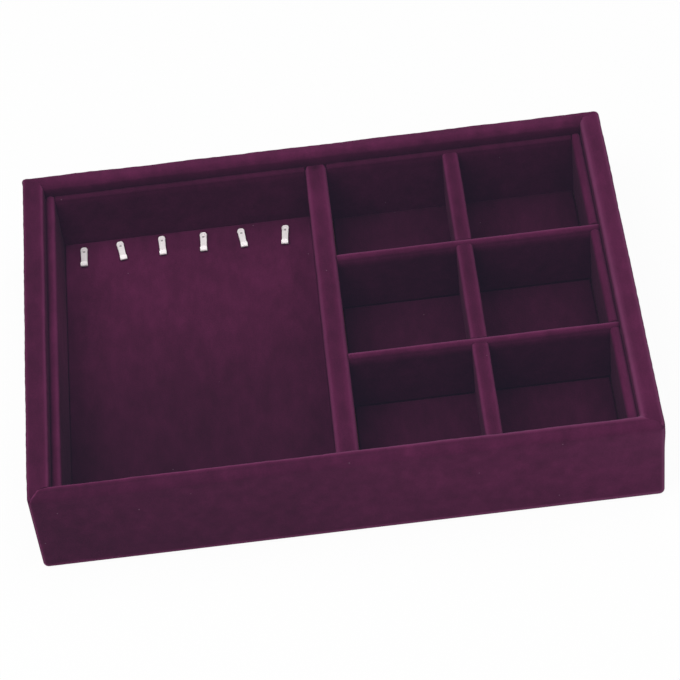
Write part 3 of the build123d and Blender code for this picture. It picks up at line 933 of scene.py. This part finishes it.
def hookSurface(look, reach):
    # The strip's upper side: its side line (a run up to reach, an arc upwards, the lip) times a cross line
    # whose half-width follows the round end. Near the nail squares become circles, so the hole is round.
    zone, hole, half = look["holeZone"], look["holeRadius"], look["stripWidth"] / 2
    curl = look["curlRadius"]
    endRow = -look["endLength"] * (1 + np.cos(np.linspace(*look["endRows"]) * pi)) / 2
    endRow = endRow[endRow < -zone - hair]
    beside = np.array([look["rowInHole"], hole, look["rowByHole"], zone])
    rest = np.linspace(zone, reach, look["rows"]["run"] + 1)[1:]
    run = np.r_[endRow, -beside[::-1], 0, beside, rest]
    arc = np.linspace(0, radians(look["curlAngle"]), look["rows"]["curl"] + 1)[1:]
    lip = np.linspace(0, look["lipLength"], look["rows"]["lip"] + 1)[1:]
    u = np.r_[run, reach + curl * np.sin(arc)]
    u = np.r_[u, u[-1] + lip * cos(arc[-1])]
    z = np.r_[0 * run, curl * (1 - np.cos(arc))]
    z = np.r_[z, z[-1] + lip * sin(arc[-1])]
    length = np.r_[run, reach + curl * arc]
    length = np.r_[length, length[-1] + lip]
    columns = np.r_[beside, look["columnShare"] * half, half]
    columns = np.r_[-columns[::-1], 0, columns]
    aside = np.abs(columns)
    roundCentre = look["endRadius"] - look["endLength"]
    circle = np.sqrt(np.maximum(look["endRadius"] ** 2 - (length - roundCentre) ** 2, 0))
    width = np.where(length < roundCentre, circle, np.maximum(half, circle))[:, None]
    outside = zone + (aside - zone) * ((width - zone) / (half - zone))
    inZone = (np.abs(length) <= zone)[:, None]
    byHole = np.where(aside <= zone, aside, outside)
    v = np.sign(columns) * np.where(inZone, byHole, aside * width / half)
    cornerLength, cornerShare = look["lipCorner"]
    lipCorner = np.maximum(length - length[-1] + cornerLength, 0)[:, None]
    v = v * (1 - cornerShare * (lipCorner / cornerLength) ** 3)
    along = np.broadcast_to(u[:, None], v.shape).copy()
    ring = np.maximum(np.abs(v), np.abs(along)) * inZone
    shrink = np.where((ring > 0) & (ring <= zone + speck), ring / np.maximum(np.hypot(v, along), speck), 1)
    along, v = along * shrink, v * shrink
    drawnIn, widens = look["waistZone"]
    v = v * (1 - look["waist"] * ease(along, zone, drawnIn) * (1 - ease(along, widens, reach)))
    flat = (1 - ease(length, reach - look["raisedFade"], reach))[:, None]
    height = z[:, None] + look["raisedEdge"] * (np.abs(v) / half) ** 4 * flat
    middle = np.maximum(np.abs(length[1:] + length[:-1])[:, None], np.abs(columns[1:] + columns[:-1])) / 2
    return np.stack([along, v, height], axis=-1), gridFaces(*v.shape, middle > hole)


def makeHook(number, look):
    # The strip is turned about its nail and made as long as the CAD hook
    node = f"hook_{number}"
    vertices = frame["nodes"][node].data.vertices
    corners = np.empty(len(vertices) * 3)
    vertices.foreach_get("co", corners)
    corners = corners.reshape(-1, 3)
    nail = nailSpots[number - 1]
    toTip = corners[corners[:, 2] > corners[:, 2].max() - look["tipZone"]].mean(axis=0)[:2] - nail[:2]
    ahead = toTip / norm(toTip)
    tip = ((corners[:, :2] - nail[:2]) @ ahead).max()
    strip, faces = hookSurface(look, tip - look["curlRadius"] - look["thickness"])
    top = corners[:, 2].min() + look["thickness"]
    plan = nail[:2] + strip[..., :1] * ahead + strip[..., 1:2] * np.array([-ahead[1], ahead[0]])
    points = np.concatenate([plan, strip[..., 2:] + top], axis=-1)
    piece = makeMesh(pieceName(f"hook_{number}_strip"), points, faces, body=node)
    thicken(piece, look["thickness"])
    edge = piece.modifiers.new("softened edges", "BEVEL")
    edge.width = look["softEdge"]
    edge.segments = 2
    edge.limit_method = "ANGLE"
    edge.angle_limit = sharpAngle
    dress(piece, "hook_steel")
    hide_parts(node)


def makeNail(number, look):
    # A profile (domed head, shank, point) turned about the nail's axis
    node = f"hook_nail_{number}"
    low, high = spanOf(node)
    headRadius = (high[0] - low[0]) / 2
    shank = headRadius * look["shankShare"]
    headBase = high[2] - look["headHeight"]
    dome = np.linspace(0, pi / 2, look["domeRows"] + 1)[1:]
    domeBase = headBase + look["headRim"]
    radius = np.r_[headRadius * np.sin(dome), headRadius, shank, shank, shank, look["pointRadius"]]
    levels = [headBase, headBase, headBase - look["shankLength"], low[2] + look["pointLength"], low[2]]
    height = np.r_[domeBase + (high[2] - domeBase) * np.cos(dome), levels]
    turn = np.linspace(0, 2 * pi, look["sides"] + 1)[:-1]
    ring = np.stack([np.cos(turn), np.sin(turn)], axis=-1)
    axis = nailSpots[number - 1][:2]
    plan = axis + radius[:, None, None] * ring
    points = np.concatenate([plan, np.broadcast_to(height[:, None, None], (*plan.shape[:2], 1))], axis=-1)
    rows, columns = points.shape[:2]
    count = rows * columns
    loops = np.arange(count).reshape(rows, columns)
    poles = np.array([[*axis, high[2]], [*axis, low[2]]])
    crown = np.stack([np.full(columns, count), loops[0], np.roll(loops[0], -1)], axis=-1)
    point = np.stack([np.full(columns, count + 1), np.roll(loops[-1], -1), loops[-1]], axis=-1)
    faces = [*loopFaces(loops).tolist(), *crown.tolist(), *point.tolist()]
    mesh = bpy.data.meshes.new(node)
    mesh.from_pydata(np.r_[points.reshape(-1, 3), poles], [], faces)
    mesh.shade_smooth()
    mesh.set_sharp_from_angle(angle=sharpAngle)
    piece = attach(newObject(pieceName(node), mesh), "tray")
    dress(piece, "nail_steel")
    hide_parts(node)


for number in hookNumbers:
    makeHook(number, hookLook)
    makeNail(number, nailLook)
print("hooks and nails made")


# Camera, lights and floor

photoView = {
    "angles": (0.44, 47.81, -7.14),  # azimuth, elevation and roll
    "place": (0.01025, -0.88971, 0.998),
    "lens": 149.8,
    "sensor": 36,
}
azimuth, elevation, roll = map(radians, photoView["angles"])
backwards = Vector((sin(azimuth) * cos(elevation), -cos(azimuth) * cos(elevation), sin(elevation)))
sideways = Vector((0, 0, 1)).cross(backwards).normalized()
upwards = backwards.cross(sideways)
cameraRight = sideways * cos(roll) + upwards * sin(roll)
cameraUp = upwards * cos(roll) - sideways * sin(roll)
cameraTurn = Matrix((cameraRight, cameraUp, backwards)).transposed().to_4x4()
cameraData = bpy.data.cameras.new("photoCamera")
cameraData.lens = photoView["lens"]
cameraData.sensor_width = photoView["sensor"]
camera = newObject("photoCamera", cameraData)
camera.matrix_world = Matrix.Translation(photoView["place"]) @ cameraTurn
scene.camera = camera

studio = {
    "sky": 0.25,
    "softboxes": {
        "key": {"place": (-0.55, -0.35, 1.25), "size": 0.8, "power": 8.5},
        "overhead": {"place": (0.3, 0.1, 1.6), "size": 1.2, "power": 8.6},
        "front": {"place": (0.2, -1.4, 1.2), "size": 1.0, "power": 3.2},
    },
    "floorHalf": 4.0,
    "paper": 0.95,
    "glow": 0.95,  # share of plain white that the camera sees in the floor
    "clearance": 0.1 * mm,  # from the tray's underside to the floor
}


def whiteToCamera(tree):
    # 1 where a camera, mirror or glass ray looks, else 0
    path = tree.nodes.new("ShaderNodeLightPath").outputs
    seen = mathNode(tree, "ADD", path["Is Camera Ray"], path["Is Glossy Ray"])
    return mathNode(tree, "ADD", seen, path["Is Transmission Ray"], clamp=True)


world = bpy.data.worlds.new("studio")
scene.world = world
world.use_nodes = True
sky = world.node_tree
strength = mathNode(sky, "MULTIPLY_ADD", whiteToCamera(sky), 1 - studio["sky"], studio["sky"])
feed(sky, sky.nodes["Background"], {"Color": (1, 1, 1, 1), "Strength": strength})

for name, softbox in studio["softboxes"].items():
    lamp = bpy.data.lights.new(name, "AREA")
    lamp.size = softbox["size"]
    lamp.energy = softbox["power"]
    lampObject = newObject(name, lamp)
    away = Vector(softbox["place"])
    lampObject.matrix_world = Matrix.Translation(away) @ away.to_track_quat("Z", "Y").to_matrix().to_4x4()

floorData = bpy.data.meshes.new("studioFloor")
reach, level = studio["floorHalf"], -studio["clearance"]
floorCorners = [(x * reach, y * reach, level) for x, y in ((-1, -1), (1, -1), (1, 1), (-1, 1))]
floorData.from_pydata(floorCorners, [], [(0, 1, 2, 3)])
studioFloor = newObject("studioFloor", floorData)
floorMaterial, floorTree, floorShader = nodeMaterial("studioFloor")
paper = (studio["paper"],) * 3 + (1,)
feed(floorTree, floorShader, {"Base Color": paper, "Roughness": 1.0, "Specular IOR Level": 0.0})
glow = mathNode(floorTree, "MULTIPLY", whiteToCamera(floorTree), studio["glow"])
plainWhite = addNode(floorTree, "ShaderNodeEmission", {})
layers = {"Fac": glow, 1: floorShader.outputs["BSDF"], 2: plainWhite}
surface = addNode(floorTree, "ShaderNodeMixShader", layers)
feed(floorTree, floorTree.nodes["Material Output"], {"Surface": surface})
studioFloor.data.materials.append(floorMaterial)

scene.view_settings.view_transform = "Standard"
print("studio set")
